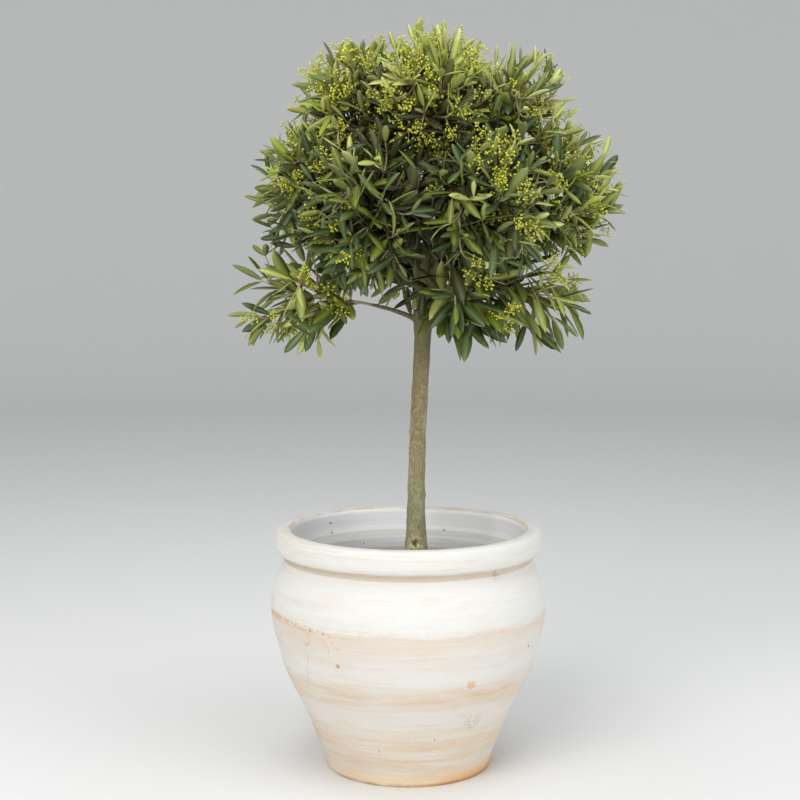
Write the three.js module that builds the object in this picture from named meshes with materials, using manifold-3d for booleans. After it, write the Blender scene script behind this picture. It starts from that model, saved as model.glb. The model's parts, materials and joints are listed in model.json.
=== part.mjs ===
// Potted olive tree: a standard, a ball of foliage on one clear stem, grown in a bellied
// terracotta pot. Millimetres, +Z up, the front is -Y, and the origin is the middle of the
// pot's underside.
import * as THREE from 'three';
import { mergeVertices } from 'three/addons/utils/BufferGeometryUtils.js';
import Module from 'manifold-3d';

const wasm = await Module();
wasm.setup();

// Driving dimensions.

const gap = 0.3; // air between pieces that rest on or meet each other

const pot = {
  height: 320,
  rimRadius: 176,
  rimDepth: 32,
  rimRound: 7,
  mouthRadius: 156,
  neckRadius: 165.7,
  neckHeight: 277,
  bellyRadius: 182.5,
  bellyHeight: 209,
  waistRadius: 154.7,
  waistHeight: 113,
  footRadius: 109,
  footHeight: 10,
  footFlare: 1.5,
  wall: 14,
  floor: 18,
  sides: 30,
};

const soilLevel = 240;

const trunk = {
  radius: 10.8, // along the clear stem
  flare: 14, // added to the radius at the soil
  flareHeight: 45, // the height in which the flare falls to a third
  headSwell: 2.6, // added to the radius below the fork
  headDepth: 50,
  line: [ // the middle of the stem, from the soil to the fork: upright, then leaning right
    [10, 0, soilLevel + gap], [10.5, 0, 300], [10.5, 1, 365], [13, 2, 455], [18, 2, 555], [20, 1, 608],
  ],
  sides: 12,
  steps: 12,
};

const boughShape = {
  sides: 6,
  steps: 3,
  taper: 0.5, // tip radius over root radius
  lean: 0.3, // how far a bough's bend lies towards its mass
  spring: 0.42, // how far a bough follows its parent's direction before it bends away
  lowSpring: 0.12, // the same where the bough feeds a hanging mass
  parentShare: 0.86, // a side bough is at most this thick, measured against its parent there
};

const stemShape = { radius: 3.2, tipRadius: 2.6, sides: 4, steps: 2 };
const twigShape = {
  count: 8,
  radius: 2.1,
  tipRadius: 2,
  sides: 3,
  steps: 1,
  spread: [-0.75, 0.97], // cosine of the angle off the stem, from the first twig to the last
  roots: [0.12, 0.97], // shares of the stem's length where the first and the last twig spring
  turnJitter: 0.8,
  lift: 0.35, // of the mass's lift, added to a twig's direction
  leafRoom: 0.75, // of a leaf's length, left between the twig's tip and the edge of the space
};
const leafShape = {
  length: 62,
  width: 24,
  thickness: 2.6,
  sizes: [1, 0.84, 0.7], // tried in this order
  perTwig: 6,
  pairStep: 16, // between pairs along a twig
  stagger: 6, // between the two leaves of a pair
  angle: 52, // degrees off the twig
  tilt: 1.2, // radians, the range of a blade's turn about its midrib
  lift: 0.45, // of the mass's lift, added to a leaf's direction
};
const budShape = { length: 24, width: 8, thickness: 8, at: 0.75 };
const rootSink = 0.9; // how deep a leaf's root is sunk past the middle of its twig
const tipSink = 2.7; // and past the end of its twig, for the leaf that ends it
const clearance = 0.8; // between a mass and the edge of its space, or a limb
const ballStep = 5; // between the balls that stand for a limb when leaves keep clear of it
const twigSamples = 6; // places along a twig that new leaves keep clear of
const spacing = 7; // between a new leaf and the leaves and twigs already there

// Each mass of foliage fills an ellipsoid about its centre as far as the middle planes to its
// neighbours. Its bough springs from another limb, at a share of that limb's length, and lift
// is how much its twigs turn up (or hang, when below 0).
const masses = [
  { name: 'top_left', centre: [-62, 6, 874], reach: [98, 92, 95], from: 'trunk', at: 0.97,
    radius: 7.5, lift: 0.5, buds: 3 },
  { name: 'top_right', centre: [128, 3, 864], reach: [96, 92, 94], from: 'trunk', at: 0.97,
    radius: 7.5, lift: 0.4, buds: 3 },
  { name: 'top_front', centre: [28, -56, 884], reach: [98, 88, 96], from: 'trunk', at: 0.99,
    radius: 6.5, lift: 0.6, buds: 3 },
  { name: 'top_back', centre: [45, 70, 868], reach: [100, 90, 94], from: 'top_front', at: 0.3,
    radius: 5, lift: 0.5, buds: 2 },
  { name: 'left', centre: [-118, 8, 758], reach: [98, 98, 112], from: 'top_left', at: 0.42,
    radius: 4.6, lift: 0.25, buds: 1 },
  { name: 'right', centre: [186, 0, 760], reach: [106, 98, 104], from: 'top_right', at: 0.42,
    radius: 4.8, lift: 0.15, buds: 3 },
  { name: 'front_left', centre: [-46, -98, 738], reach: [102, 96, 116], from: 'top_left', at: 0.26,
    radius: 4.6, lift: 0, buds: 2 },
  { name: 'front_right', centre: [96, -104, 744], reach: [100, 94, 108], from: 'top_right', at: 0.26,
    radius: 4.6, lift: 0, buds: 2 },
  { name: 'back_left', centre: [-48, 106, 758], reach: [104, 90, 100], from: 'top_left', at: 0.34,
    radius: 4.6, lift: 0, buds: 1 },
  { name: 'back_right', centre: [112, 106, 752], reach: [104, 90, 100], from: 'top_right', at: 0.34,
    radius: 4.6, lift: 0, buds: 1 },
  { name: 'lower_left', centre: [-144, -14, 626], reach: [104, 94, 88], from: 'trunk', at: 0.95,
    radius: 4.2, lift: -0.3, buds: 2 },
  { name: 'lower_front', centre: [74, -84, 630], reach: [82, 92, 92], from: 'trunk', at: 0.96,
    radius: 4, lift: -0.5, buds: 1 },
  { name: 'lower_right', centre: [162, -12, 634], reach: [96, 95, 94], from: 'top_right', at: 0.14,
    radius: 4.2, lift: -0.4, buds: 2 },
  { name: 'lower_back', centre: [30, 104, 662], reach: [108, 94, 76], from: 'trunk', at: 0.93,
    radius: 4, lift: -0.2, buds: 0 },
];

// Solids made from geometries.

// A geometry with positions only, its shared corners merged.
function mergedOf(geometry) {
  const bare = geometry.clone();
  bare.deleteAttribute('normal');
  bare.deleteAttribute('uv');
  return mergeVertices(bare, 1e-3);
}

// A closed geometry as a solid, without the triangles that shrink to a line at a pole.
function solidOf(geometry) {
  const merged = mergedOf(geometry);
  const corners = merged.index.array;
  const kept = [];
  for (let i = 0; i < corners.length; i += 3) {
    const [a, b, c] = corners.slice(i, i + 3);
    if (a !== b && b !== c && c !== a) kept.push(a, b, c);
  }
  const vertProperties = new Float32Array(merged.attributes.position.array);
  return new wasm.Manifold(new wasm.Mesh({ numProp: 3, vertProperties, triVerts: new Uint32Array(kept) }));
}

// The largest connected body of a solid, without loose scraps or sealed hollows.
function mainBody(solid) {
  const bodies = solid.decompose();
  return bodies.reduce((best, body) => (body.volume() > best.volume() ? body : best));
}

function meshOf(solid, name, material) {
  const { numProp, vertProperties, triVerts } = solid.getMesh();
  const geometry = new THREE.BufferGeometry();
  const positions = new Float32Array((vertProperties.length / numProp) * 3);
  for (let i = 0; i < positions.length / 3; i += 1) {
    positions.set(vertProperties.subarray(i * numProp, i * numProp + 3), i * 3);
  }
  geometry.setAttribute('position', new THREE.BufferAttribute(positions, 3));
  geometry.setIndex(new THREE.BufferAttribute(new Uint32Array(triVerts), 1));
  geometry.computeVertexNormals();
  const mesh = new THREE.Mesh(geometry, material);
  mesh.name = name;
  return mesh;
}

// A tapered tube along a curve: a cylinder of unit size whose rings are carried onto it.
function taperedTube(curve, radiusAt, sides, steps) {
  const tube = new THREE.CylinderGeometry(1, 1, 1, sides, steps);
  const { binormals, normals } = curve.computeFrenetFrames(steps);
  const corners = tube.attributes.position;
  const corner = new THREE.Vector3();
  for (let i = 0; i < corners.count; i += 1) {
    corner.fromBufferAttribute(corners, i);
    const step = Math.round((corner.y + 0.5) * steps);
    const share = step / steps;
    const radius = radiusAt(share);
    const place = curve.getPointAt(share)
      .addScaledVector(binormals[step], corner.x * radius)
      .addScaledVector(normals[step], corner.z * radius);
    corners.setXYZ(i, place.x, place.y, place.z);
  }
  return tube;
}

// Pot and soil.

const vector2 = (x, y) => new THREE.Vector2(x, y);

// Radii and heights of the pot's side, from the foot to the neck, moved in by an inset.
function sideStations(inset, bottom) {
  const { footRadius, footFlare, waistRadius, waistHeight } = pot;
  const { bellyRadius, bellyHeight, neckRadius, neckHeight } = pot;
  const middle = (share, low, high) => low + (high - low) * share;
  return [
    vector2(footRadius + footFlare - inset, bottom),
    vector2(middle(0.5, footRadius, waistRadius) - inset, middle(0.56, 0, waistHeight)),
    vector2(waistRadius - inset, waistHeight),
    vector2(middle(0.68, waistRadius, bellyRadius) - inset, middle(0.52, waistHeight, bellyHeight)),
    vector2(bellyRadius - inset, bellyHeight),
    vector2(middle(0.62, neckRadius, bellyRadius) - inset, middle(0.52, bellyHeight, neckHeight)),
    vector2(neckRadius - inset, neckHeight),
  ];
}

function lathe(profile) {
  const turned = new THREE.LatheGeometry(profile.getPoints(1), pot.sides);
  turned.rotateX(Math.PI / 2);
  return solidOf(turned);
}

function buildPot() {
  const { height, rimRadius, rimDepth, rimRound, mouthRadius, footRadius, wall, floor } = pot;
  const inside = sideStations(wall, floor).reverse();
  const profile = new THREE.Path();
  profile.moveTo(0, 0);
  profile.lineTo(footRadius, 0);
  for (const station of sideStations(0, pot.footHeight)) profile.lineTo(station.x, station.y);
  profile.absarc(rimRadius - rimRound, height - rimDepth + rimRound, rimRound, -Math.PI / 2, 0);
  profile.absarc(rimRadius - rimRound, height - rimRound, rimRound, 0, Math.PI / 2);
  profile.lineTo(mouthRadius + rimRound / 2, height);
  profile.lineTo(mouthRadius, height - rimRound / 2);
  profile.lineTo(mouthRadius - 1, height - rimDepth);
  for (const station of inside) profile.lineTo(station.x, station.y);
  profile.lineTo(0, floor);
  return lathe(profile);
}

// The soil fills the pot from its floor, a gap clear of the wall all round.
function buildSoil() {
  const side = sideStations(pot.wall + 2 * gap, pot.floor + gap);
  const above = side.findIndex((station) => station.y > soilLevel);
  const [low, high] = [side[above - 1], side[above]];
  const shoulder = low.clone().lerp(high, (soilLevel - low.y) / (high.y - low.y));
  const profile = new THREE.Path();
  profile.moveTo(0, pot.floor + gap);
  for (const station of side.slice(0, above)) profile.lineTo(station.x, station.y);
  profile.lineTo(shoulder.x, soilLevel);
  profile.lineTo(0, soilLevel);
  return lathe(profile);
}

// Trunk and boughs.

const vector3 = (values) => new THREE.Vector3(...values);

function growTrunk() {
  const curve = new THREE.CatmullRomCurve3(trunk.line.map(vector3));
  const bottom = trunk.line[0][2];
  const top = trunk.line[trunk.line.length - 1][2];
  const radiusAt = (share) => {
    const height = curve.getPointAt(share).z;
    const flare = trunk.flare * Math.exp((bottom - height) / trunk.flareHeight);
    const swell = trunk.headSwell * THREE.MathUtils.smoothstep(height, top - trunk.headDepth, top);
    return trunk.radius + flare + swell;
  };
  return { name: 'trunk', curve, radiusAt };
}

// The line from a limb to the middle of a mass leaves along its parent and then bends away.
// The bough is the stretch outside the mass's space, and the mass's stem is the rest.
function growBough(mass, limbs) {
  const parent = limbs.find((limb) => limb.name === mass.from);
  const root = parent.curve.getPointAt(mass.at);
  const centre = vector3(mass.centre);
  const spring = (mass.lift < 0 ? boughShape.lowSpring : boughShape.spring) * root.distanceTo(centre);
  const bend = root.clone().lerp(centre, boughShape.lean);
  bend.addScaledVector(parent.curve.getTangentAt(mass.at), spring);
  const line = new THREE.QuadraticBezierCurve3(root, bend, centre);
  let entry = 0;
  while (!inSpace(mass, line.getPoint(entry), mass.radius)) entry += 0.01;
  const joint = line.getPoint(entry);
  const step = line.getTangent(entry).multiplyScalar(gap);
  const curve = new THREE.QuadraticBezierCurve3(root, root.clone().lerp(bend, entry), joint);
  const stem = new THREE.QuadraticBezierCurve3(
    joint.clone().add(step), bend.clone().lerp(centre, entry).add(step), centre);
  const rootRadius = Math.min(mass.radius, parent.radiusAt(mass.at) * boughShape.parentShare);
  const radiusAt = (share) => rootRadius * (1 - (1 - boughShape.taper) * share);
  return { name: mass.name, curve, radiusAt, stem };
}

function limbTube(limb, grown) {
  const { sides, steps } = limb.name === 'trunk' ? trunk : boughShape;
  return solidOf(taperedTube(limb.curve, (share) => limb.radiusAt(share) + grown, sides, steps));
}

// The space of a mass.

// True where a point lies in the mass's ellipsoid and on its side of the planes half way to
// the other masses, at least the margin away from those planes.
function inSpace(mass, point, margin) {
  const centre = vector3(mass.centre);
  const offset = point.clone().sub(centre);
  const [x, y, z] = mass.reach.map((reach, axis) => offset.getComponent(axis) / (reach - margin));
  if (x * x + y * y + z * z > 1) return false;
  return masses.every((other) => {
    if (other === mass) return true;
    const across = vector3(other.centre).sub(centre);
    const half = across.length() / 2;
    return offset.dot(across.normalize()) < half - margin;
  });
}

// Balls along every limb, which twigs and leaves keep clear of.
function limbBalls(limbs) {
  const balls = [];
  for (const limb of limbs) {
    const count = Math.ceil(limb.curve.getLength() / ballStep);
    for (let i = 0; i <= count; i += 1) {
      balls.push({ centre: limb.curve.getPointAt(i / count), radius: limb.radiusAt(i / count) });
    }
  }
  return balls;
}

function isFree(mass, balls, point, radius) {
  if (!inSpace(mass, point, radius + clearance)) return false;
  return balls.every((ball) => ball.centre.distanceTo(point) > ball.radius + radius + 3 * clearance);
}

// Growth of twigs and leaves.

// Park and Miller's generator, so that a seed always grows the same twigs.
function seededRandom(seed) {
  let state = (seed * 48271) % 2147483647;
  return () => {
    state = (state * 16807) % 2147483647;
    return state / 2147483647;
  };
}

const up = new THREE.Vector3(0, 0, 1);
const goldenAngle = Math.PI * (3 - Math.sqrt(5));

// A direction at an angle (radians) from an axis, turned about it.
function aside(axis, angle, turn) {
  const helper = Math.abs(axis.z) > 0.9 ? new THREE.Vector3(1, 0, 0) : up;
  const first = new THREE.Vector3().crossVectors(axis, helper).normalize();
  const second = new THREE.Vector3().crossVectors(axis, first);
  return axis.clone().multiplyScalar(Math.cos(angle))
    .addScaledVector(first, Math.sin(angle) * Math.cos(turn))
    .addScaledVector(second, Math.sin(angle) * Math.sin(turn));
}

// The mass's stem runs from its bough's tip to the middle of its space. Twigs spring from it
// in a golden-angle spiral and end evenly spread through the space, a leaf short of its edge.
function growTwigs(mass, limb, balls, random) {
  const stem = limb.stem;
  const twigs = [{ curve: stem, shape: stemShape }];
  const axis = stem.getTangentAt(0.5);
  const centre = vector3(mass.centre);
  for (let i = 0; i < twigShape.count; i += 1) {
    const share = (i + 0.5) / twigShape.count;
    const angle = Math.acos(THREE.MathUtils.lerp(...twigShape.spread, share));
    const out = aside(axis, angle, i * goldenAngle + random() * twigShape.turnJitter);
    out.addScaledVector(up, twigShape.lift * mass.lift).normalize();
    const root = stem.getPointAt(THREE.MathUtils.lerp(...twigShape.roots, share));
    for (let reach = 1; reach > 0.4; reach -= 0.05) {
      const edge = out.clone().multiply(vector3(mass.reach)).multiplyScalar(reach).add(centre);
      const tip = edge.clone().addScaledVector(out, -twigShape.leafRoom * leafShape.length);
      const curve = new THREE.LineCurve3(root, tip);
      const tries = [0.2, 0.4, 0.6, 0.8, 1].map((part) => curve.getPointAt(part));
      const free = tries.every((point) => isFree(mass, balls, point, twigShape.radius));
      if (free && root.distanceTo(tip) > 2 * leafShape.stagger && isFree(mass, balls, edge, 0)) {
        twigs.push({ curve, shape: twigShape });
        break;
      }
    }
  }
  return twigs;
}

// A leaf, or a spray of buds, is a flattened tetrahedron: its keel is the midrib, from the
// root inside the twig to the tip, and the edge across it is the leaf's width.
function leafAt(root, direction, shape, size, sink, tilt) {
  const length = shape.length * size;
  const blade = new THREE.TetrahedronGeometry(Math.sqrt(3));
  blade.rotateZ(Math.PI / 4);
  blade.scale(shape.width / Math.sqrt(8), length / Math.sqrt(8), shape.thickness / 2);
  const across = new THREE.Vector3().crossVectors(direction, up);
  if (across.length() < 0.05) across.set(1, 0, 0);
  across.normalize().applyAxisAngle(direction, tilt);
  const face = new THREE.Vector3().crossVectors(across, direction);
  const middle = root.clone().addScaledVector(direction, length / 2 - sink);
  blade.applyMatrix4(new THREE.Matrix4().makeBasis(across, direction, face).setPosition(middle));
  const places = [
    ...[0.2, 0.4, 0.6, 0.8, 1].map((part) => root.clone().addScaledVector(direction, length * part - sink)),
    ...[-0.5, -0.25, 0.25, 0.5].map((side) => middle.clone().addScaledVector(across, side * shape.width)),
  ];
  return { blade, places };
}

// The leaves of a twig spring from it by turns, a right angle on from pair to pair, and one
// more ends it. A leaf that would leave the mass's space, touch a limb or crowd what is there
// is tried shorter and then left out.
function growMass(mass, index, limb, balls) {
  const random = seededRandom(index + 11);
  const twigs = growTwigs(mass, limb, balls, random);
  const taken = [];
  const pieces = twigs.map(({ curve, shape }) => {
    taken.push(...curve.getSpacedPoints(twigSamples));
    const radiusAt = (share) => THREE.MathUtils.lerp(shape.radius, shape.tipRadius, share);
    return solidOf(taperedTube(curve, radiusAt, shape.sides, shape.steps));
  });
  const tryLeaf = (root, direction, shape, sink) => {
    const tilt = (random() - 0.5) * leafShape.tilt;
    for (const size of leafShape.sizes) {
      const { blade, places } = leafAt(root, direction, shape, size, sink, tilt);
      const crowded = places.some((place) => taken.some((other) => other.distanceTo(place) < spacing));
      if (!crowded && places.every((place) => isFree(mass, balls, place, 0))) {
        taken.push(...places);
        pieces.push(solidOf(blade));
        return;
      }
    }
  };
  const angle = THREE.MathUtils.degToRad(leafShape.angle);
  twigs.forEach(({ curve }, twig) => {
    const turned = random() * Math.PI;
    tryLeaf(curve.getPointAt(1), lifted(curve.getTangentAt(1), mass.lift), leafShape, tipSink);
    for (let i = 0; i < leafShape.perTwig; i += 1) {
      const pair = Math.floor(i / 2);
      const back = leafShape.stagger * (1 + (i % 2)) + leafShape.pairStep * pair;
      const share = Math.max(0.15, 1 - back / curve.getLength());
      const turn = turned + (pair * Math.PI) / 2 + (i % 2) * Math.PI;
      const direction = aside(curve.getTangentAt(share), angle * (0.9 + 0.3 * random()), turn);
      tryLeaf(curve.getPointAt(share), lifted(direction, mass.lift), leafShape, rootSink);
    }
    if (twig > twigs.length - 1 - mass.buds) {
      const direction = aside(curve.getTangentAt(budShape.at), angle, turned + Math.PI / 4);
      tryLeaf(curve.getPointAt(budShape.at), direction, budShape, rootSink);
    }
  });
  return mainBody(wasm.Manifold.union(pieces));
}

function lifted(direction, lift) {
  return direction.clone().addScaledVector(up, leafShape.lift * lift).normalize();
}

// Assembly.

const finish = {
  terracotta: new THREE.MeshStandardMaterial({ color: 0xe6d8c8, roughness: 0.85, metalness: 0 }),
  soil: new THREE.MeshStandardMaterial({ color: 0x4a3527, roughness: 1, metalness: 0 }),
  bark: new THREE.MeshStandardMaterial({ color: 0x7d7458, roughness: 0.9, metalness: 0 }),
  foliage: new THREE.MeshStandardMaterial({ color: 0x5d6b3a, roughness: 0.6, metalness: 0 }),
};

const tree = new THREE.Group();
tree.name = 'potted_olive_tree';
tree.add(meshOf(buildPot(), 'pot', finish.terracotta));
tree.add(meshOf(buildSoil(), 'soil', finish.soil));

const limbs = [growTrunk()];
for (const mass of masses) limbs.push(growBough(mass, limbs));

// Each limb is cut clear of those that came before it, so a bough starts a gap off its parent.
const before = [];
for (const limb of limbs) {
  let solid = limbTube(limb, 0);
  if (before.length > 0) solid = mainBody(solid.subtract(wasm.Manifold.union(before)));
  before.push(limbTube(limb, gap));
  const name = limb.name === 'trunk' ? 'trunk' : `${limb.name}_bough`;
  tree.add(meshOf(solid, name, finish.bark));
}

const balls = limbBalls(limbs);
masses.forEach((mass, index) => {
  const limb = limbs[index + 1];
  tree.add(meshOf(growMass(mass, index, limb, balls), `${mass.name}_foliage`, finish.foliage));
});

export default tree;
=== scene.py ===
# Potted olive tree: a young standard in bud, in a whitewashed terracotta pot.
# Metres, +Z up, the front is -Y, and the origin is the middle of the pot's underside.
import json
import math
from bisect import bisect

import bmesh
import bpy
from mathutils import Matrix, Vector, geometry, noise
from mathutils.kdtree import KDTree

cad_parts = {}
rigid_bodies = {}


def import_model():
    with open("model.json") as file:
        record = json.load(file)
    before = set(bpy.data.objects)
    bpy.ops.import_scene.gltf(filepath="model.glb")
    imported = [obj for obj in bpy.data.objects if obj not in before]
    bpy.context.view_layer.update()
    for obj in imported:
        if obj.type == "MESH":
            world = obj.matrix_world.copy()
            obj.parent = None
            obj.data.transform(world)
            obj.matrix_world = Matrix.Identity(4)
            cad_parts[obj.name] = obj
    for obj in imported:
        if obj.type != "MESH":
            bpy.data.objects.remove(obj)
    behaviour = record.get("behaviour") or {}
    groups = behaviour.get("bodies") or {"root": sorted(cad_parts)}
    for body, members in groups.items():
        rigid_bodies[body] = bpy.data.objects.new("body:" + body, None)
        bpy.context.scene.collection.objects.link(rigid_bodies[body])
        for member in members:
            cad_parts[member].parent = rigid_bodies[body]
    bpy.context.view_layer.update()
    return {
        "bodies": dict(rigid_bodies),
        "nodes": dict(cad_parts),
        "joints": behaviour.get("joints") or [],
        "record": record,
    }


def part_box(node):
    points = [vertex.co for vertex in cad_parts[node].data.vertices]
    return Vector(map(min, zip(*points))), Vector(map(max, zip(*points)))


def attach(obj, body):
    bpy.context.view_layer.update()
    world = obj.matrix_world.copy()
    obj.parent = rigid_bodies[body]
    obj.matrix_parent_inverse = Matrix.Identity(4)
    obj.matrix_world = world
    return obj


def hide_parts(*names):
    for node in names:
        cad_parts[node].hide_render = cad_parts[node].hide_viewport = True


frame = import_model()
up = Vector((0, 0, 1))
goldenAngle = math.pi * (3 - math.sqrt(5))
sameSpot = 1e-6  # vertices nearer than this are joined
anyTurn = 6.3  # just over a full turn, in radians


def lerp(low, high, share):
    return low + (high - low) * share


def smoothStep(value, low, high):
    share = min(max((value - low) / (high - low), 0), 1)
    return share * share * (3 - 2 * share)


def intoScene(name, data):
    thing = bpy.data.objects.new(name, data)
    bpy.context.scene.collection.objects.link(thing)
    return thing


view = {
    "place": (-0.011, -2.10, 0.704),
    "pitch": -5.85,  # degrees above level
    "lens": 72,
    "sensor": 36,
}
lights = {
    "key": {"place": (-1.4, -2.6, 2.3), "size": 2.2, "power": 67, "colour": (1, 0.985, 0.955)},
    "fill": {"place": (2.4, -1.8, 1.2), "size": 2.4, "power": 29, "colour": (0.97, 0.99, 1)},
    "top": {"place": (0.1, -0.3, 3.0), "size": 2.2, "power": 40, "colour": (1, 1, 1)},
}
studio = {
    "aim": (0, 0, 0.5),  # what the lamps point at
    "sky": (0.93, 0.96, 1, 1),
    "skyStrength": 0.45,
    "paper": (0.80, 0.80, 0.79),
    "roughness": 0.9,
    "radius": 4.6,
    "sweep": 1.4,
    "wall": 3.0,
    "steps": 16,
    "sides": 96,
}


def setCamera():
    cameraData = bpy.data.cameras.new("camera")
    cameraData.lens = view["lens"]
    cameraData.sensor_width = view["sensor"]
    camera = intoScene("camera", cameraData)
    camera.location = view["place"]
    camera.rotation_euler = (math.radians(90 + view["pitch"]), 0, 0)
    bpy.context.scene.camera = camera


def setLights():
    world = bpy.data.worlds.new("world")
    world.use_nodes = True
    sky = world.node_tree.nodes["Background"]
    sky.inputs["Color"].default_value = studio["sky"]
    sky.inputs["Strength"].default_value = studio["skyStrength"]
    bpy.context.scene.world = world
    bpy.context.scene.view_settings.view_transform = "Standard"
    for name, light in lights.items():
        lamp = bpy.data.lights.new(name, "AREA")
        lamp.size = light["size"]
        lamp.energy = light["power"]
        lamp.color = light["colour"]
        holder = intoScene(name, lamp)
        holder.location = light["place"]
        towards = Vector(studio["aim"]) - holder.location
        holder.rotation_euler = towards.to_track_quat("-Z", "Y").to_euler()


# The surface that an outline sweeps out as it turns about the upright axis.
def turned(outline, sides):
    bm = bmesh.new()
    corners = [bm.verts.new((x, 0, z)) for x, z in outline]
    edges = [bm.edges.new(pair) for pair in zip(corners, corners[1:])]
    bmesh.ops.spin(bm, geom=corners + edges, cent=(0, 0, 0), axis=up, steps=sides,
                   angle=2 * math.pi, use_merge=True)
    bmesh.ops.remove_doubles(bm, verts=bm.verts[:], dist=sameSpot)
    bmesh.ops.recalc_face_normals(bm, faces=bm.faces[:])
    return bm


# A round floor that sweeps up into a low plain wall all about the tree.
def buildStudio():
    profile = [(0, 0), (studio["radius"] / 2, 0)]
    for i in range(studio["steps"] + 1):
        angle = math.pi / 2 * i / studio["steps"]
        profile.append((studio["radius"] + studio["sweep"] * math.sin(angle),
                        studio["sweep"] * (1 - math.cos(angle))))
    profile.append((studio["radius"] + studio["sweep"], studio["wall"]))
    bm = turned(profile, studio["sides"])
    for face in bm.faces:
        face.normal_update()
        if face.normal.dot(up * 2 - face.calc_center_median()) < 0:
            face.normal_flip()
    paper = newMaterial("studio_paper", studio["paper"], studio["roughness"])[0]
    newPiece("studio", bm, [paper])


# A socket in a material's nodes, used in sums like a number.
class Shade:
    def __init__(self, tree, socket=None):
        self.tree = tree
        self.socket = socket

    def add(self, kind, settings=None, inputs=None, output=0):
        node = self.tree.nodes.new(kind)
        for name, value in (settings or {}).items():
            setattr(node, name, value)
        for name, value in (inputs or {}).items():
            if isinstance(value, Shade):
                self.tree.links.new(value.socket, node.inputs[name])
            else:
                node.inputs[name].default_value = value
        return Shade(self.tree, node.outputs[output])

    def maths(self, operation, *values):
        return self.add("ShaderNodeMath", {"operation": operation}, dict(enumerate(values)))

    def vectors(self, operation, other=(0, 0, 0), output="Vector"):
        return self.add("ShaderNodeVectorMath", {"operation": operation}, {0: self, 1: other}, output)

    def axis(self, name):
        return self.add("ShaderNodeSeparateXYZ", {}, {0: self}, name)

    def offFrom(self, level):
        return self.maths("ABSOLUTE", self - level)

    def __add__(self, other):
        return self.maths("ADD", self, other)

    __radd__ = __add__

    def __mul__(self, other):
        return self.maths("MULTIPLY", self, other)

    __rmul__ = __mul__

    def __sub__(self, other):
        return self.maths("SUBTRACT", self, other)

    def __rsub__(self, other):
        return self.maths("SUBTRACT", other, self)


def newMaterial(name, colour, roughness):
    material = bpy.data.materials.new(name)
    material.use_nodes = True
    material.diffuse_color = (*colour, 1)
    shader = material.node_tree.nodes["Principled BSDF"]
    shader.inputs["Base Color"].default_value = (*colour, 1)
    shader.inputs["Roughness"].default_value = roughness
    return material, shader


def placeOf(material):
    tree = material.node_tree
    return Shade(tree).add("ShaderNodeTexCoord", output="Object")


def noiseOf(place, scale, detail=3, rough=0.55):
    return place.add("ShaderNodeTexNoise", {}, {
        "Vector": place.vectors("MULTIPLY", scale), "Scale": 1, "Detail": detail, "Roughness": rough})


# From 0 to the amount as the value goes from low to high, or from high to low where low is larger.
def between(value, low, high, amount=1):
    shown = value.add("ShaderNodeMapRange", {"interpolation_type": "SMOOTHSTEP"}, {
        "Value": value, "From Min": low, "From Max": high})
    return shown if amount == 1 else shown * amount


def blended(share, low, high):
    colours = {name: value if isinstance(value, Shade) else (*value, 1)
               for name, value in ((6, low), (7, high))}
    return share.add("ShaderNodeMix", {"data_type": "RGBA"}, {0: share, **colours}, 2)


# A spot with a ragged edge, which has faded out at its full size.
def spotAt(place, centre, size, ragged, grain):
    away = place.vectors("DISTANCE", centre, "Value") + (grain - 0.5) * ragged
    return between(away, size, size * 0.6)


def linkColour(shader, colour, bump, strength, depth):
    tree = colour.tree
    tree.links.new(colour.socket, shader.inputs["Base Color"])
    relief = bump.add("ShaderNodeBump", {}, {"Height": bump, "Strength": strength, "Distance": depth})
    tree.links.new(relief.socket, shader.inputs["Normal"])


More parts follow.
